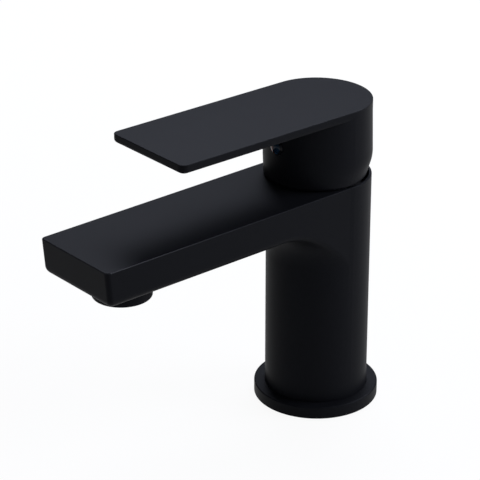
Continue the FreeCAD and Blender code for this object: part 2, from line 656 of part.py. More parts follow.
def lever_plate():
    """Flat plate: a round rear end over the cap, parallel sides, and a gentle rise to the front."""
    half = CAP_RADIUS
    rear = -CAP_OFFSET
    rear_arc = Part.Arc(vec(half, rear, 0), vec(0, half + rear, 0), vec(-half, rear, 0)).toShape()
    corners = [(-half, rear), (-half, -LEVER_LENGTH), (half, -LEVER_LENGTH), (half, rear)]
    sides = line_chain([vec(x, y, 0) for x, y in corners])
    plan = Part.Face(Part.Wire([rear_arc] + sides)).extrude(vec(0, 0, 2 * HANDLE_TOP))

    def at_front_corner(edge, point):
        return edge.BoundBox.ZLength > HANDLE_TOP and point.y < -LEVER_LENGTH / 2

    plan = plan.makeFillet(LEVER_CORNER_RADIUS, edges_where(plan, at_front_corner))
    front = -LEVER_LENGTH
    section = []
    for y, drop in ((half, 0), (front, 0), (front, LEVER_THICKNESS), (half, LEVER_THICKNESS)):
        section.append(vec(-half, y, HANDLE_TOP - LEVER_SLOPE * y - drop))
    plate = plan.common(prism(section, vec(2 * half, 0, 0)))
    faces = sorted(plate.Faces, key=lambda face: face.CenterOfMass.z)
    plate = plate.makeFillet(LEVER_LOWER_EDGE_RADIUS, faces[0].Edges)
    faces = sorted(plate.Faces, key=lambda face: face.CenterOfMass.z)
    return plate.makeFillet(LEVER_TOP_EDGE_RADIUS, faces[-1].Edges)


def plug_seat():
    return cap_front() + PLUG_DEPTH


def lever_handle():
    outside = cap_shell().fuse(lever_plate()).removeSplitter()
    wall = STEM_HALF + SEAT_CLEARANCE + SOCKET_WALL
    socket_boss = centred_block(wall, wall, (SOCKET_BOTTOM, CAP_CEILING))
    screw_boss_half = SCREW_RADIUS + SCREW_BOSS_WALL
    boss_low = SCREW_HEIGHT - screw_boss_half
    inner_end = -STEM_HALF - SEAT_CLEARANCE
    front_end = cap_front() + SKIRT_LIP / 2
    screw_boss = block((-screw_boss_half, screw_boss_half), (front_end, inner_end), (boss_low, CAP_CEILING))
    stem_hole = STEM_HALF + SEAT_CLEARANCE / 2
    cuts = [
        centred_block(stem_hole, stem_hole, (boss_low, CAP_CEILING)),
        rod_along_y(SCREW_RADIUS + SEAT_CLEARANCE / 2, (cap_front(), 0), SCREW_HEIGHT),
        rod_along_y(PLUG_RADIUS + SEAT_CLEARANCE / 2, (2 * cap_front(), plug_seat()), SCREW_HEIGHT),
    ]
    return outside.fuse([socket_boss, screw_boss]).cut(cuts)


def grub_screw():
    """Set screw that clamps the square stem, with a hexagon socket facing the plug."""
    rear = -STEM_HALF
    front = rear - SCREW_LENGTH
    screw = rod_along_y(SCREW_RADIUS, (front, rear), SCREW_HEIGHT)
    corner = SCREW_KEY_FLATS / 2 / math.cos(math.radians(HALF_TURN / HEXAGON_SIDES))
    hexagon = []
    for index in range(HEXAGON_SIDES):
        angle = math.radians(FULL_TURN * index / HEXAGON_SIDES)
        hexagon.append(vec(corner * math.cos(angle), front, SCREW_HEIGHT + corner * math.sin(angle)))
    return screw.cut(prism(hexagon, vec(0, SCREW_KEY_DEPTH, 0)))


def plug_blank():
    """Round plug with a domed face, before its two colour marks are let in."""
    face = cap_front()
    shank = rod_along_y(PLUG_RADIUS, (face, plug_seat()), SCREW_HEIGHT)
    dome_radius = (PLUG_RADIUS ** 2 + PLUG_DOME ** 2) / (2 * PLUG_DOME)
    centre = vec(0, face - PLUG_DOME + dome_radius, SCREW_HEIGHT)
    front = block((-dome_radius, dome_radius), (2 * face, face), (0, 2 * SCREW_HEIGHT))
    dome = Part.makeSphere(dome_radius, centre).common(front)
    return shank.fuse(dome).removeSplitter()


def mark_zone(side):
    """Half of the round recess in the plug's face, on the hot or the cold side."""
    face = cap_front() - PLUG_DOME
    disc = rod_along_y(MARK_RADIUS, (face, face + MARK_DEPTH), SCREW_HEIGHT)
    x_range = sorted((side * MARK_DIVIDER / 2, side * MARK_RADIUS))
    z_range = (SCREW_HEIGHT - MARK_RADIUS, SCREW_HEIGHT + MARK_RADIUS)
    return disc.common(block(x_range, (face, face + MARK_DEPTH), z_range))


def index_plug():
    return plug_blank().cut([mark_zone(side) for side in SIDES])


def hot_mark():
    return plug_blank().common(mark_zone(-1))


def cold_mark():
    return plug_blank().common(mark_zone(1))


def aerator_housing():
    """Sleeve that screws over the nozzle, with a lip that holds the insert."""
    y = -SPOUT_REACH
    sleeve = cylinder(AERATOR_RADIUS, AERATOR_BOTTOM, AERATOR_TOP, 0, y)
    lower = edges_where(sleeve, lambda edge, point: edge.BoundBox.ZMax < AERATOR_BOTTOM + TOLERANCE)
    sleeve = sleeve.makeFillet(AERATOR_EDGE_RADIUS, lower)
    bore = cylinder(AERATOR_BORE, INSERT_LEDGE, AERATOR_TOP, 0, y)
    return sleeve.cut([bore, cylinder(AERATOR_OUTLET_RADIUS, AERATOR_BOTTOM, INSERT_LEDGE, 0, y)])


def drilled(disc, low, high, hole_radius, pitch, field_radius):
    """A disc on the aerator's axis with rings of small holes."""
    holes = []
    for x, y in ring_of_points(pitch, field_radius - hole_radius - HOLE_RIM):
        holes.append(cylinder(hole_radius, low, high, x, y - SPOUT_REACH))
    return disc.cut(holes)


def aerator_insert():
    y = -SPOUT_REACH
    low = AERATOR_BOTTOM + INSERT_RECESS
    core_radius = AERATOR_OUTLET_RADIUS - SEAT_CLEARANCE
    flange = cylinder(NOZZLE_RADIUS, INSERT_LEDGE, INSERT_TOP, 0, y)
    core = cylinder(core_radius, low, INSERT_LEDGE, 0, y).fuse(flange)
    return drilled(core, low, INSERT_TOP, INSERT_HOLE_RADIUS, INSERT_HOLE_PITCH, core_radius)


def aerator_screen():
    disc = cylinder(NOZZLE_RADIUS, INSERT_TOP, SCREEN_TOP, 0, -SPOUT_REACH)
    return drilled(disc, INSERT_TOP, SCREEN_TOP, SCREEN_HOLE_RADIUS, SCREEN_HOLE_PITCH, NOZZLE_BORE_RADIUS)


def aerator_seal():
    return ring(NOZZLE_RADIUS, NOZZLE_BORE_RADIUS, SCREEN_TOP, NOZZLE_BOTTOM, 0, -SPOUT_REACH)


PIECES = (
    body_casting, base_flange, base_gasket,
    cartridge_housing, housing_seal, cartridge_base, port_seals, fixed_ceramic_disc,
    moving_ceramic_disc, disc_carrier, stem_guide, guide_seal, pivot_pin, lever_stem,
    cartridge_nut, friction_washer, limit_ring,
    lever_handle, grub_screw, index_plug, hot_mark, cold_mark,
    aerator_housing, aerator_insert, aerator_screen, aerator_seal,
)


def main():
    os.makedirs("parts", exist_ok=True)
    for piece in PIECES:
        made = piece()
        solids = made if isinstance(made, list) else made.Solids
        shape = solids[0] if len(solids) == 1 else Part.makeCompound(solids)
        shape.exportStep(f"parts/{piece.__name__}.step")
        print(f"{piece.__name__}: {len(solids)} solid, {shape.Volume:.1f} mm3, valid {shape.isValid()}")


main()
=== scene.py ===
"""Looks of a single-lever basin mixer in satin black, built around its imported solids.

Sizes are in metres, and places are in the part's own frame.
"""

import json
import logging
import math
from abc import ABC, abstractmethod
from collections.abc import Mapping
from dataclasses import dataclass, field
from enum import Enum
from functools import cache
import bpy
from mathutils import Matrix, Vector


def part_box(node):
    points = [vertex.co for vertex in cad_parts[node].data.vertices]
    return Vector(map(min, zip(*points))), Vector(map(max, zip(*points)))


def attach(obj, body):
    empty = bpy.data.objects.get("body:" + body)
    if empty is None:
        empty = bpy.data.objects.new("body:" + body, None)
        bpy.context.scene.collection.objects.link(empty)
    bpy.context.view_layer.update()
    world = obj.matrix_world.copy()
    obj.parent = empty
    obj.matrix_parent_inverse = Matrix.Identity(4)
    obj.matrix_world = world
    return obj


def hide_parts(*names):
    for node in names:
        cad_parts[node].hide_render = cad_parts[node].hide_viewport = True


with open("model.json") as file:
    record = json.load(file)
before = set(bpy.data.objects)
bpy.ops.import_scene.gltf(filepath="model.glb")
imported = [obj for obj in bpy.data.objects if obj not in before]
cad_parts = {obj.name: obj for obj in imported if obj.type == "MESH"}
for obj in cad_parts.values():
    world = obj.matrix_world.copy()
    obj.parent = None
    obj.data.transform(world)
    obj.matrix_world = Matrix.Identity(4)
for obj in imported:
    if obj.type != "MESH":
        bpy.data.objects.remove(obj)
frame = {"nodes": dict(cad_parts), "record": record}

from types import MappingProxyType
from typing import Union

import bpy
import numpy as np
from mathutils import Matrix, Vector

Colour = tuple[float, float, float]
Point = tuple[float, float, float]
Shade = tuple[float, float, float, float]
Piece = bpy.types.Object

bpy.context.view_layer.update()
CASTING_LOW, CASTING_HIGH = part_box("body_casting")
LOG = logging.getLogger("basin_mixer")
MM = 0.001
SHARP_ANGLE = math.radians(40.0)
WHITE: Shade = (1.0, 1.0, 1.0, 1.0)
DAYLIGHT: Colour = (0.9, 0.95, 1.12)
NOTHING: Mapping = MappingProxyType({})

# How many finer layers a texture adds to soft patches, to a fine grain and to orange peel.
PATCH_LAYERS = 2.0
GRAIN_LAYERS = 3.0
PEEL_LAYERS = 1.0

# A Wave node at a scale of 1 turns through this many radians over one unit of length.
WAVE_RATE = 20.0

# A Mix node has sockets of the same name for each type of data, so its colours go by number.
MIX_LOW = 6
MIX_HIGH = 7
MIX_RESULT = 2


class Operation(Enum):
    """Arithmetic that a Math node does on two values."""

    ADD = "ADD"
    SUBTRACT = "SUBTRACT"
    MULTIPLY = "MULTIPLY"
    DIVIDE = "DIVIDE"
    MAXIMUM = "MAXIMUM"
    MINIMUM = "MINIMUM"
    LESS_THAN = "LESS_THAN"


class Value:
    """One output socket, on which Python's operators add Math nodes."""

    def __init__(self, graph: "Graph", socket: bpy.types.NodeSocket) -> None:
        """Keeps the socket and the graph that its nodes are added to."""
        self.graph = graph
        self.socket = socket

    def _math(self, operation: Operation, first: "Operand", second: "Operand") -> "Value":
        """The result of one Math node on two values."""
        settings = {"operation": operation.value}
        return self.graph.value("ShaderNodeMath", "Value", settings, {0: first, 1: second})

    def __add__(self, other: "Operand") -> "Value":
        """This value plus another."""
        return self._math(Operation.ADD, self, other)

    def __radd__(self, other: "Operand") -> "Value":
        """A number plus this value."""
        return self._math(Operation.ADD, other, self)

    def __sub__(self, other: "Operand") -> "Value":
        """This value less another."""
        return self._math(Operation.SUBTRACT, self, other)

    def __rsub__(self, other: "Operand") -> "Value":
        """A number less this value."""
        return self._math(Operation.SUBTRACT, other, self)

    def __mul__(self, other: "Operand") -> "Value":
        """This value times another."""
        return self._math(Operation.MULTIPLY, self, other)

    def __rmul__(self, other: "Operand") -> "Value":
        """A number times this value."""
        return self._math(Operation.MULTIPLY, other, self)

    def __truediv__(self, other: "Operand") -> "Value":
        """This value over another."""
        return self._math(Operation.DIVIDE, self, other)

    def __rtruediv__(self, other: "Operand") -> "Value":
        """A number over this value."""
        return self._math(Operation.DIVIDE, other, self)

    def at_least(self, other: "Operand") -> "Value":
        """The larger of this value and another."""
        return self._math(Operation.MAXIMUM, self, other)

    def at_most(self, other: "Operand") -> "Value":
        """The smaller of this value and another."""
        return self._math(Operation.MINIMUM, self, other)

    def less_than(self, other: "Operand") -> "Value":
        """1 where this value is the smaller, and otherwise 0."""
        return self._math(Operation.LESS_THAN, self, other)


Operand = Union[Value, float]


class Graph:
    """The nodes of one material or of the world."""

    def __init__(self, owner: Union[bpy.types.Material, bpy.types.World], output: str) -> None:
        """Empties the owner's nodes and adds its output.

        Args:
            owner: The material or the world.
            output: The type of the output node.
        """
        owner.use_nodes = True
        self.tree = owner.node_tree
        self.tree.nodes.clear()
        self.output = self.tree.nodes.new(output)

    def node(self, kind: str, settings: Mapping = NOTHING, sockets: Mapping = NOTHING) -> bpy.types.Node:
        """Adds any node.

        Args:
            kind: The node's type.
            settings: Its properties, which are set first.
            sockets: A constant, a Value or an output socket for each input, by name or number.

        Returns:
            The node.
        """
        made = self.tree.nodes.new(kind)
        for key, setting in settings.items():
            setattr(made, key, setting)
        for key, given in sockets.items():
            socket = made.inputs[key]
            if isinstance(given, Value):
                given = given.socket
            if isinstance(given, bpy.types.NodeSocket):
                self.tree.links.new(given, socket)
            else:
                socket.default_value = given
        return made

    def value(self, kind: str, output: Union[str, int], settings: Mapping = NOTHING,
              sockets: Mapping = NOTHING) -> Value:
        """Adds any node and takes one of its outputs, by name or number."""
        return Value(self, self.node(kind, settings, sockets).outputs[output])

    def show(self, shader: bpy.types.Node) -> None:
        """Makes a shader the surface of the material or of the world."""
        self.tree.links.new(shader.outputs[0], self.output.inputs["Surface"])

    def object_place(self) -> Value:
        """The place on the piece, in the part's own frame."""
        return self.value("ShaderNodeTexCoord", "Object")

    def noise(self, place: Value, size: float, layers: float) -> Value:
        """Random patches from 0 to 1 that are about so large, with so many finer layers."""
        sockets = {"Vector": place, "Scale": 1.0 / size, "Detail": layers}
        return self.value("ShaderNodeTexNoise", "Fac", sockets=sockets)

    def blend(self, factor: Value, low: Colour, high: Colour) -> Value:
        """A colour between two plain ones, which is the first at 0 and the second at 1."""
        return self.mix_colours(factor, (*low, 1.0), (*high, 1.0))

    def mix_colours(self, factor: Value, low: Union[Value, Shade], high: Union[Value, Shade]) -> Value:
        """A colour between two, each of which is a Value or a colour with its alpha."""
        sockets = {"Factor": factor, MIX_LOW: low, MIX_HIGH: high}
        return self.value("ShaderNodeMix", MIX_RESULT, {"data_type": "RGBA"}, sockets)

    def bump(self, height: Value, depth: float, strength: float) -> Value:
        """A surface normal from a height of 0 to 1, where 1 stands for the depth."""
        sockets = {"Height": height, "Distance": depth, "Strength": strength}
        return self.value("ShaderNodeBump", "Normal", sockets=sockets)


@dataclass(frozen=True)
class Finish:
    """A finish, which makes its material once and is given to every piece that has it.

    Attributes:
        name: The material's name.
        colour: Its middle shade.
        roughness: Its roughness, before it is made uneven.
        specular: How much it mirrors where it is faced.
        metallic: 1 for bare metal and 0 for anything else.
        tone: How far its shades part from the colour, as a share of it.
        patch: How large a soft patch is.
        grain: How large a grain is.
        relief: How deep the relief is.
        strength: How far the light follows the relief.
        rough_base: The least share of the roughness.
        rough_patches: The share that the patches add.
        rough_detail: The share that the fine detail adds.
    """

    name: str
    colour: Colour
    roughness: float
    specular: float = 0.5
    metallic: float = 0.0
    tone: float = 0.06
    patch: float = 6.0 * MM
    grain: float = 0.5 * MM
    relief: float = 0.01 * MM
    strength: float = 0.3
    rough_base: float = 0.9
    rough_patches: float = 0.1
    rough_detail: float = 0.1

    @cache
    def material(self) -> bpy.types.Material:
        """Makes the finish's material when it is first asked for.

        Returns:
            The material.
        """
        made = bpy.data.materials.new(self.name)
        graph = Graph(made, "ShaderNodeOutputMaterial")
        sockets = {**self.constants(), **self.pattern(graph)}
        graph.show(graph.node("ShaderNodeBsdfPrincipled", sockets=sockets))
        return made

    def constants(self) -> dict[str, float]:
        """The shader's values that are the same all over the surface."""
        return {"Metallic": self.metallic, "Specular IOR Level": self.specular}

    def shades(self) -> tuple[Colour, Colour]:
        """The darkest and the lightest shade of the colour."""
        low, high = (tuple(c * (1 + side * self.tone) for c in self.colour) for side in (-1, 1))
        return low, high

    def uneven_roughness(self, patches: Value, detail: Value) -> Value:
        """The roughness, which rises a little with the patches and with the fine detail."""
        added = self.rough_patches * patches + self.rough_detail * detail
        return self.roughness * (self.rough_base + added)

    def pattern(self, graph: Graph) -> dict[str, Value]:
        """What changes over the surface: soft patches in the colour, and a fine grain.

        Args:
            graph: The material's nodes.

        Returns:
            The values, by the name of the shader's socket.
        """
        place = graph.object_place()
        patches = graph.noise(place, self.patch, PATCH_LAYERS)
        grain = graph.noise(place, self.grain, GRAIN_LAYERS)
        return {
            "Base Color": graph.blend(patches, *self.shades()),
            "Roughness": self.uneven_roughness(patches, grain),
            "Normal": graph.bump(grain, self.relief, self.strength),
        }


@dataclass(frozen=True)
class GlossEnamel(Finish):
    """Smooth enamel, such as that of the plug and its marks."""

    roughness: float = 0.12
    specular: float = 0.09
    tone: float = 0.05
    relief: float = 0.003 * MM


@dataclass(frozen=True)
class PowderCoat(Finish):
    """Baked powder coating in satin black: a faint orange peel under a very fine matt grain.

    It mirrors little where it is faced, and shines where it is seen at a low angle.

    Attributes:
        peel: How large a dimple of the orange peel is.
        peel_share: The share of the relief that is orange peel.
    """

    colour: Colour = (0.0052, 0.0054, 0.0063)
    roughness: float = 0.47
    specular: float = 0.03
    tone: float = 0.08
    patch: float = 22.0 * MM
    grain: float = 0.35 * MM
    relief: float = 0.02 * MM
    strength: float = 0.25
    rough_base: float = 0.92
    rough_detail: float = 0.06
    peel: float = 2.4 * MM
    peel_share: float = 0.75

    def pattern(self, graph: Graph) -> dict[str, Value]:
        """Orange peel and grain in the relief, and a cloudy sheen.

        Args:
            graph: The material's nodes.

        Returns:
            The values, by the name of the shader's socket.
        """
        place = graph.object_place()
        cloud = graph.noise(place, self.patch, PATCH_LAYERS)
        peel = graph.noise(place, self.peel, PEEL_LAYERS)
        grain = graph.noise(place, self.grain, GRAIN_LAYERS)
        height = self.peel_share * peel + (1.0 - self.peel_share) * grain
        return {
            "Base Color": graph.blend((cloud + grain) / 2.0, *self.shades()),
            "Roughness": self.uneven_roughness(cloud, grain),
            "Normal": graph.bump(height, self.relief, self.strength),
        }


@dataclass(frozen=True)
class TurnedMetal(Finish):
    """Metal from the lathe, with fine tool marks in rings about the upright axis.

    Attributes:
        pitch: The distance from one mark to the next.
        wobble: How uneven the marks are.
    """

    metallic: float = 1.0
    rough_base: float = 0.8
    rough_patches: float = 0.15
    rough_detail: float = 0.25
    pitch: float = 0.22 * MM
    wobble: float = 1.5

    def rings(self, graph: Graph, place: Value) -> Value:
        """Tool marks from 0 to 1: a wave of the distance from the axis, a little uneven.

        Args:
            graph: The material's nodes.
            place: Where on the piece.

        Returns:
            The marks.
        """
        settings = {"wave_type": "RINGS", "rings_direction": "Z"}
        scale = 2 * math.pi / (WAVE_RATE * self.pitch)
        sockets = {"Vector": place, "Scale": scale, "Distortion": self.wobble, "Detail": PATCH_LAYERS}
        return graph.value("ShaderNodeTexWave", "Fac", settings, sockets)

    def pattern(self, graph: Graph) -> dict[str, Value]:
        """Tool marks in the relief and the gloss, and soft patches in the colour.

        Args:
            graph: The material's nodes.

        Returns:
            The values, by the name of the shader's socket.
        """
        place = graph.object_place()
        patches = graph.noise(place, self.patch, PATCH_LAYERS)
        marks = self.rings(graph, place)
        return {
            "Base Color": graph.blend(patches, *self.shades()),
            "Roughness": self.uneven_roughness(patches, marks),
            "Normal": graph.bump(marks, self.relief, self.strength),
        }


@dataclass(frozen=True)
class CoatedCasting(PowderCoat):
    """A coated casting: its hollow foot is bare metal, and its top edge is rubbed glossy at the tip.

    Attributes:
        bare: The finish of the bare metal.
        top: The height of the casting's top.
        tip: How far along the spout its tip is.
        bare_radius: How far from the axis the foot's hollow reaches.
        bare_height: How high the foot's hollow reaches.
        rub: The weight of the gloss at the tip.
        rub_depth: How far below the top the gloss ends.
        rub_start: The share of that depth over which the gloss sets in.
        rub_roughness: The roughness of the gloss.
    """

    bare: Finish = field(kw_only=True)
    top: float = field(kw_only=True)
    tip: float = field(kw_only=True)
    bare_radius: float = 21.3 * MM
    bare_height: float = 62.0 * MM
    rub: float = 0.3
    rub_depth: float = 0.4 * MM
    rub_start: float = 0.15
    rub_roughness: float = 0.2

    def constants(self) -> dict[str, float]:
        """The shader's constant values, with the smoothness of the rubbed edge."""
        return {**super().constants(), "Coat Roughness": self.rub_roughness}

    def bare_share(self, x: Value, y: Value, z: Value) -> Value:
        """1 inside the foot's radius and below its height, and otherwise 0."""
        inside = (x * x + y * y).less_than(self.bare_radius ** 2)
        return inside * z.less_than(self.bare_height)

    def rubbed_share(self, y: Value, z: Value) -> Value:
        """How far the top edge is rubbed.

        The share sets in below the flat top and ends at the rubbed depth. It is 1 at the spout's tip, falls
        with the cube of the distance along the spout, and is 0 from the axis backwards.

        Args:
            y: The place along the spout.
            z: The height.

        Returns:
            The share.
        """
        drop = (self.top - z) / self.rub_depth
        crown = (drop / self.rub_start).at_most(1.0) * drop.less_than(1.0)
        reach = (y / self.tip).at_least(0.0)
        return crown * reach * reach * reach

    def pattern(self, graph: Graph) -> dict[str, Value]:
        """The coating's pattern, which gives way to bare metal in the foot and shines on the top edge.

        Args:
            graph: The material's nodes.

        Returns:
            The values, by the name of the shader's socket.
        """
        coat = super().pattern(graph)
        metal = self.bare.pattern(graph)
        parts = graph.node("ShaderNodeSeparateXYZ", sockets={"Vector": graph.object_place()}).outputs
        x, y, z = (Value(graph, parts[axis]) for axis in "XYZ")
        share = self.bare_share(x, y, z)
        return {
            "Base Color": graph.mix_colours(share, coat["Base Color"], metal["Base Color"]),
            "Roughness": coat["Roughness"] + share * (metal["Roughness"] - coat["Roughness"]),
            "Metallic": share * self.bare.metallic,
            "Coat Weight": self.rub * self.rubbed_share(y, z),
            "Normal": coat["Normal"],
        }


RUBBER = Finish("moulded_rubber", (0.012, 0.012, 0.0125), 0.72, specular=0.3, tone=0.15, grain=0.3 * MM)
BRASS = TurnedMetal("machined_brass", (0.62, 0.44, 0.19), 0.3, tone=0.08)
CAST_BRASS = Finish("cast_brass", (0.5, 0.36, 0.16), 0.48, metallic=1.0, tone=0.16, patch=3.0 * MM)
# The nut's near-black colour is painted shade: it stands in for the shadow in the narrow gap under the
# lever's cap, where the nut shows.
SHADE_DARK_BRASS = TurnedMetal("shade_painted_brass", (0.004, 0.0038, 0.0036), 0.6, specular=0.03, metallic=0.0,
                         tone=0.2)
STEEL = TurnedMetal("bright_steel", (0.56, 0.56, 0.57), 0.25, pitch=0.15 * MM)
COATING = PowderCoat("satin_black_coating")
COATED_BODY = CoatedCasting("satin_black_casting", bare=CAST_BRASS, top=CASTING_HIGH[2], tip=CASTING_LOW[1])
WHITE_PLASTIC = Finish("white_moulded_plastic", (0.74, 0.74, 0.71), 0.45, tone=0.03)
GREY_PLASTIC = Finish("grey_moulded_plastic", (0.33, 0.34, 0.36), 0.42, tone=0.04)
BLACK_PLASTIC = Finish("black_moulded_plastic", (0.02, 0.02, 0.022), 0.5, specular=0.2, tone=0.1)
CERAMIC = Finish("lapped_ceramic", (0.82, 0.81, 0.78), 0.18, tone=0.02, relief=0.002 * MM)
PLUG = GlossEnamel("gloss_black_plug", (0.004, 0.004, 0.0045), 0.14)
# Both marks keep their own red and blue hues, but their colours are darkened with painted shade, standing
# in for the shade under the lever's front.
SHADED_HOT_MARK = GlossEnamel("shaded_hot_red_mark", (0.075, 0.005, 0.004))
SHADED_COLD_MARK = GlossEnamel("shaded_cold_blue_mark", (0.004, 0.015, 0.028), specular=0.14)


def add_piece(name: str, points: np.ndarray, faces: np.ndarray, body: str,
              finish: Finish) -> Piece:
    """Makes a new piece from arrays, and lets it ride on a body of the part.

    Args:
        name: The piece's name.
        points: Its corners in metres, one row each.
        faces: The corners of each four-sided face, one row each, counted so that the face points outwards.
        body: The body that it moves with.
        finish: What it is dressed in.

    Returns:
        The piece.
    """
    mesh = bpy.data.meshes.new(name)
    mesh.from_pydata(points, [], faces)
    mesh.polygons.foreach_set("use_smooth", np.ones(len(faces), bool))
    mesh.set_sharp_from_angle(angle=SHARP_ANGLE)
    mesh.materials.append(finish.material())
    piece = bpy.data.objects.new(name, mesh)
    bpy.context.scene.collection.objects.link(piece)
    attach(piece, body)
    LOG.info("%s: new piece of %d faces, %s", name, len(faces), finish.name)
    return piece


def grid_faces(rows: int, columns: int, rows_close: bool) -> np.ndarray:
    """Faces of a grid whose rows each close on themselves, counted row by row.

    Args:
        rows: How many rows of points there are.
        columns: How many points a row has.
        rows_close: Whether the last row joins the first.

    Returns:
        Four corners for each face.
    """
    row = np.arange(rows if rows_close else rows - 1)[:, None]
    column = np.arange(columns)[None, :]
    after, beside = (row + 1) % rows, (column + 1) % columns
    here, there = row * columns, after * columns
    corners = (here + column, here + beside, there + beside, there + column)
    return np.stack(np.broadcast_arrays(*corners), axis=-1).reshape(-1, len(corners))


@dataclass
class SubAssembly(ABC):
    """A group of solids, with the new pieces that belong to it."""

    @abstractmethod
    def finishes(self) -> Mapping[str, Finish]:
        """The finish of each solid that is shown."""

    def build(self) -> None:
        """Makes the group's new pieces, of which most groups have none."""

    def dress(self) -> None:
        """Gives each solid of the group its finish."""
        for node, finish in self.finishes().items():
            slots = frame["nodes"][node].data.materials
            slots.clear()
            slots.append(finish.material())
            LOG.info("%s: %s", node, finish.name)


@dataclass
class Body(SubAssembly):
    """The coated casting on its flange, with the threads of its ports and the beaded gasket under it.

    Attributes:
        thread_pitch: The rise of a thread over one turn.
        thread_depth: How far the ridge stands out of the wall.
        thread_root: Half the ridge's width at the wall.
        thread_crest: Half the ridge's width at its crest.
        thread_margin: What stays plain at each end of a hole.
        thread_steps: The points over one turn.
        root_bite: How far the root bites into the wall, as a share of the depth.
        run_out: The turns over which the crest sinks at each end.
        least_rise: The share of the depth that is left at the very end.
        bead_count: The beads across the gasket's underside.
        bead_height: How far a bead stands out.
        ring_steps: The points round the gasket.
        profile_steps: The points across its underside.
    """

    thread_pitch: float = 1.0 * MM
    thread_depth: float = 0.42 * MM
    thread_root: float = 0.42 * MM
    thread_crest: float = 0.12 * MM
    thread_margin: float = 0.7 * MM
    thread_steps: int = 40
    root_bite: float = 0.1
    run_out: float = 0.5
    least_rise: float = 0.02
    bead_count: int = 3
    bead_height: float = 0.22 * MM
    ring_steps: int = 160
    profile_steps: int = 96

    def finishes(self) -> Mapping[str, Finish]:
        """The coated casting and flange."""
        return {"body_casting": COATED_BODY, "base_flange": COATING}

    def build(self) -> None:
        """Makes the thread of each threaded hole that the record states, and the gasket."""
        for mount in frame["record"]["mounts"]:
            if mount["kind"] == "threaded_hole":
                radius, length = (mount["dims"][size] * MM for size in ("r_mm", "length_mm"))
                self.build_thread(mount["name"], mount["pos_m"], radius, length)
        self.build_gasket()

    def build_thread(self, hole: str, mouth: Point, radius: float, length: float) -> None:
        """A ridge that winds up the wall of a hole.

        A four-cornered profile, wide at the wall and narrow at its crest, is carried along a helix: at each
        angle its corners stand at their own distance from the axis, and at a height of the pitch times the
        turns. Over the run-out at each end the crest sinks into the wall.

        Args:
            hole: The hole's name.
            mouth: The middle of its lower end.
            radius: Its radius.
            length: Its depth.
        """
        turns = (length - 2 * self.thread_margin) / self.thread_pitch
        turn = np.linspace(0.0, turns, int(turns * self.thread_steps))[:, None]
        rise = np.clip(np.minimum(turn, turns - turn) / self.run_out, self.least_rise, 1.0)
        root, crest, bite = self.thread_root, self.thread_crest, self.root_bite
        inwards = np.array([-bite, 1.0, 1.0, -bite])[None, :] * self.thread_depth
        upwards = np.array([-root, -crest, crest, root])[None, :]
        distance = radius - inwards * rise
        angle = 2 * math.pi * turn
        x = mouth[0] + distance * np.cos(angle)
        y = mouth[1] + distance * np.sin(angle)
        z = mouth[2] + self.thread_margin + self.thread_pitch * turn + upwards
        points = np.stack((x, y, z), axis=-1).reshape(-1, 3)
        rows, corners = z.shape
        first = np.arange(corners)
        last = first + corners * (rows - 1)
        faces = np.concatenate((grid_faces(rows, corners, False), [first[::-1], last]))
        add_piece(f"{hole}_thread", points, faces, "body", BRASS)

    def build_gasket(self) -> None:
        """The gasket, a ring whose underside has round beads.

        A closed profile is turned about the upright axis: a flat top and straight sides, and an underside
        that is the bead's height above the deck less the bead's height times the square of a sine.
        """
        low, high = (np.array(corner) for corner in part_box("base_gasket"))
        outer = high[0]
        inner = outer - self.gasket_width()
        across = np.linspace(0.0, 1.0, self.profile_steps)
        beads = self.bead_height * (1.0 - np.sin(math.pi * self.bead_count * across) ** 2)
        radii = np.concatenate((outer + (inner - outer) * across, [inner, outer]))
        heights = np.concatenate((low[2] + beads, [high[2], high[2]]))
        angle = np.linspace(0.0, 2 * math.pi, self.ring_steps, endpoint=False)[:, None]
        x, y = radii * np.cos(angle), radii * np.sin(angle)
        points = np.stack(np.broadcast_arrays(x, y, heights[None, :]), axis=-1).reshape(-1, 3)
        faces = grid_faces(self.ring_steps, len(radii), True)
        piece = add_piece("beaded_gasket", points, faces, "body", RUBBER)
        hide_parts("base_gasket")

    @staticmethod
    def gasket_width() -> float:
        """The width of the gasket's ring, from the distances of its corners to the axis.

        Returns:
            The width.
        """
        mesh = frame["nodes"]["base_gasket"].data
        places = np.empty(3 * len(mesh.vertices))
        mesh.vertices.foreach_get("co", places)
        distance = np.hypot(*places.reshape(-1, 3).T[:2])
        return float(distance.max() - distance.min())


@dataclass
class Handle(SubAssembly):
    """The lever with its set screw, and the plug that hides the screw."""

    def finishes(self) -> Mapping[str, Finish]:
        """The coated lever, the steel screw, and the plug with its two marks."""
        return {"lever_handle": COATING, "grub_screw": STEEL, "index_plug": PLUG, "hot_mark": SHADED_HOT_MARK,
                "cold_mark": SHADED_COLD_MARK}


@dataclass
class Cartridge(SubAssembly):
    """The ceramic-disc cartridge, its nut and its stop ring."""

    def finishes(self) -> Mapping[str, Finish]:
        """Moulded shells, rubber seals, lapped discs and turned metal."""
        return {
            "cartridge_housing": BLACK_PLASTIC, "housing_seal": RUBBER, "cartridge_base": GREY_PLASTIC,
            "port_seals": RUBBER, "fixed_ceramic_disc": CERAMIC, "moving_ceramic_disc": CERAMIC,
            "disc_carrier": GREY_PLASTIC, "stem_guide": GREY_PLASTIC, "guide_seal": RUBBER,
            "pivot_pin": STEEL, "lever_stem": BRASS, "cartridge_nut": SHADE_DARK_BRASS,
            "friction_washer": WHITE_PLASTIC, "limit_ring": BLACK_PLASTIC,
        }


@dataclass
class Aerator(SubAssembly):
    """The coated sleeve under the spout's end, with its insert, screen and seal."""

    def finishes(self) -> Mapping[str, Finish]:
        """The coated sleeve, and what it holds."""
        return {"aerator_housing": COATING, "aerator_insert": GREY_PLASTIC, "aerator_screen": STEEL,
                "aerator_seal": RUBBER}


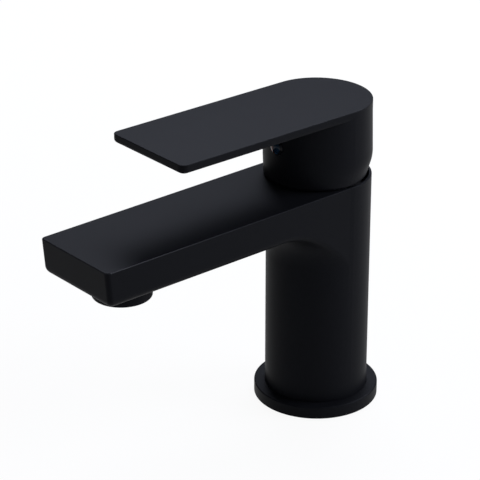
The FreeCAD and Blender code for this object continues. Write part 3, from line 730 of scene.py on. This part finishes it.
@dataclass(frozen=True)
class Softbox:
    """A studio lamp with a soft oblong face.

    Attributes:
        name: The lamp's name.
        place: The middle of its face.
        width: The width of its face.
        height: The height of its face.
        radiance: How bright its face is, where white is 1.
        colour: The tint of its light.
    """

    name: str
    place: Point
    width: float
    height: float
    radiance: float
    colour: Colour = DAYLIGHT

    def build(self, aim: Vector) -> None:
        """Makes the lamp. Its power is its radiance times pi times its area.

        Args:
            aim: The point that the lamp faces.
        """
        lamp = bpy.data.lights.new(self.name, "AREA")
        lamp.shape = "RECTANGLE"
        lamp.size = self.width
        lamp.size_y = self.height
        lamp.color = self.colour
        lamp.energy = self.radiance * math.pi * self.width * self.height
        holder = bpy.data.objects.new(self.name, lamp)
        holder.location = self.place
        holder.rotation_euler = (aim - Vector(self.place)).to_track_quat("-Z", "Y").to_euler()
        bpy.context.scene.collection.objects.link(holder)


@dataclass
class Studio:
    """A pale floor, soft lamps, and a camera that was solved from the photograph's edges and circles.

    Attributes:
        azimuth: The camera's turn from the front towards the right, in degrees.
        elevation: Its height over the level, in degrees.
        aim: The point in the middle of its picture.
        distance: How far it stands from that point.
        lens: Its focal length, in millimetres.
        sensor: The width of its sensor, in millimetres.
        ambient_far: The light of the room behind the part.
        ambient_near: The light of the room on the camera's side.
        floor_side: The length of the floor's side.
        floor_colour: The floor's own colour.
        floor_glow: The share of plain white in the floor, where it is seen.
        lamps: The lamps, which all face the camera's aim.
    """

    azimuth: float = 49.712
    elevation: float = 25.222
    aim: Point = (0.0, -44.033 * MM, 86.775 * MM)
    distance: float = 925.835 * MM
    lens: float = 166.195
    sensor: float = 36.0
    ambient_far: float = 0.08
    ambient_near: float = 0.38
    floor_side: float = 40.0
    floor_colour: Colour = (0.7, 0.7, 0.7)
    floor_glow: float = 0.93
    lamps: tuple[Softbox, ...] = (
        Softbox("rear_strip", place=(-0.53, 0.75, 1.0), width=1.3, height=0.4, radiance=12.4),
        Softbox("side_softbox", place=(0.75, 0.86, 0.68), width=0.8, height=0.8, radiance=8.4),
    )

    def build(self) -> None:
        """Makes the world, the floor, the lamps and the camera."""
        self.build_world()
        self.build_floor()
        for lamp in self.lamps:
            lamp.build(Vector(self.aim))
        self.build_camera()
        bpy.context.scene.view_settings.view_transform = "Standard"

    @staticmethod
    def seen(graph: Graph) -> Value:
        """1 where the camera looks, straight or by a reflection or through glass, and otherwise 0.

        Args:
            graph: The nodes that ask.

        Returns:
            The share.
        """
        path = graph.node("ShaderNodeLightPath").outputs
        kinds = ("Camera", "Glossy", "Transmission")
        straight, mirrored, through = (Value(graph, path[f"Is {kind} Ray"]) for kind in kinds)
        return straight.at_least(mirrored).at_least(through)

    def build_world(self) -> None:
        """The dim light of the room, which is brighter on the side of the camera than behind the part."""
        world = bpy.data.worlds.new("studio_room")
        graph = Graph(world, "ShaderNodeOutputWorld")
        way = graph.value("ShaderNodeTexCoord", "Generated")
        turn = math.radians(self.azimuth)
        sockets = {0: way, 1: (math.sin(turn), -math.cos(turn), 0.0)}
        towards = graph.value("ShaderNodeVectorMath", "Value", {"operation": "DOT_PRODUCT"}, sockets)
        far, near = (tuple(c * level for c in DAYLIGHT) for level in (self.ambient_far, self.ambient_near))
        room = graph.blend((1.0 + towards) / 2.0, far, near)
        graph.show(graph.node("ShaderNodeBackground", sockets={"Color": room, "Strength": 1.0}))
        bpy.context.scene.world = world

    def build_floor(self) -> None:
        """A pale floor under the part, which glows white where it is seen and keeps a soft shadow."""
        material = bpy.data.materials.new("pale_floor")
        graph = Graph(material, "ShaderNodeOutputMaterial")
        matt = graph.node("ShaderNodeBsdfDiffuse", sockets={"Color": (*self.floor_colour, 1.0)})
        white = graph.node("ShaderNodeEmission", sockets={"Color": WHITE, "Strength": 1.0})
        glow = self.floor_glow * self.seen(graph)
        shaders = {0: glow, 1: matt.outputs[0], 2: white.outputs[0]}
        graph.show(graph.node("ShaderNodeMixShader", sockets=shaders))
        half = self.floor_side / 2
        corners = [(-half, -half, 0.0), (half, -half, 0.0), (half, half, 0.0), (-half, half, 0.0)]
        mesh = bpy.data.meshes.new("floor")
        mesh.from_pydata(corners, [], [(0, 1, 2, 3)])
        mesh.materials.append(material)
        floor = bpy.data.objects.new("floor", mesh)
        bpy.context.scene.collection.objects.link(floor)

    def build_camera(self) -> None:
        """The camera, level, on a sphere round its aim."""
        turn, rise = math.radians(self.azimuth), math.radians(self.elevation)
        back = Vector((math.sin(turn) * math.cos(rise), -math.cos(turn) * math.cos(rise), math.sin(rise)))
        right = Vector((math.cos(turn), math.sin(turn), 0.0))
        up = back.cross(right)
        data = bpy.data.cameras.new("camera")
        data.sensor_width = self.sensor
        data.lens = self.lens
        camera = bpy.data.objects.new("camera", data)
        turned = Matrix((right, up, back)).transposed().to_4x4()
        camera.matrix_world = Matrix.Translation(Vector(self.aim) + back * self.distance) @ turned
        bpy.context.scene.collection.objects.link(camera)
        bpy.context.scene.camera = camera


def main() -> None:
    """Builds and dresses every sub-assembly, and then the studio round them."""
    logging.basicConfig(level=logging.INFO, format="%(message)s")
    for assembly in (Body(), Handle(), Cartridge(), Aerator()):
        assembly.build()
        assembly.dress()
    Studio().build()


if __name__ == "__main__":
    main()
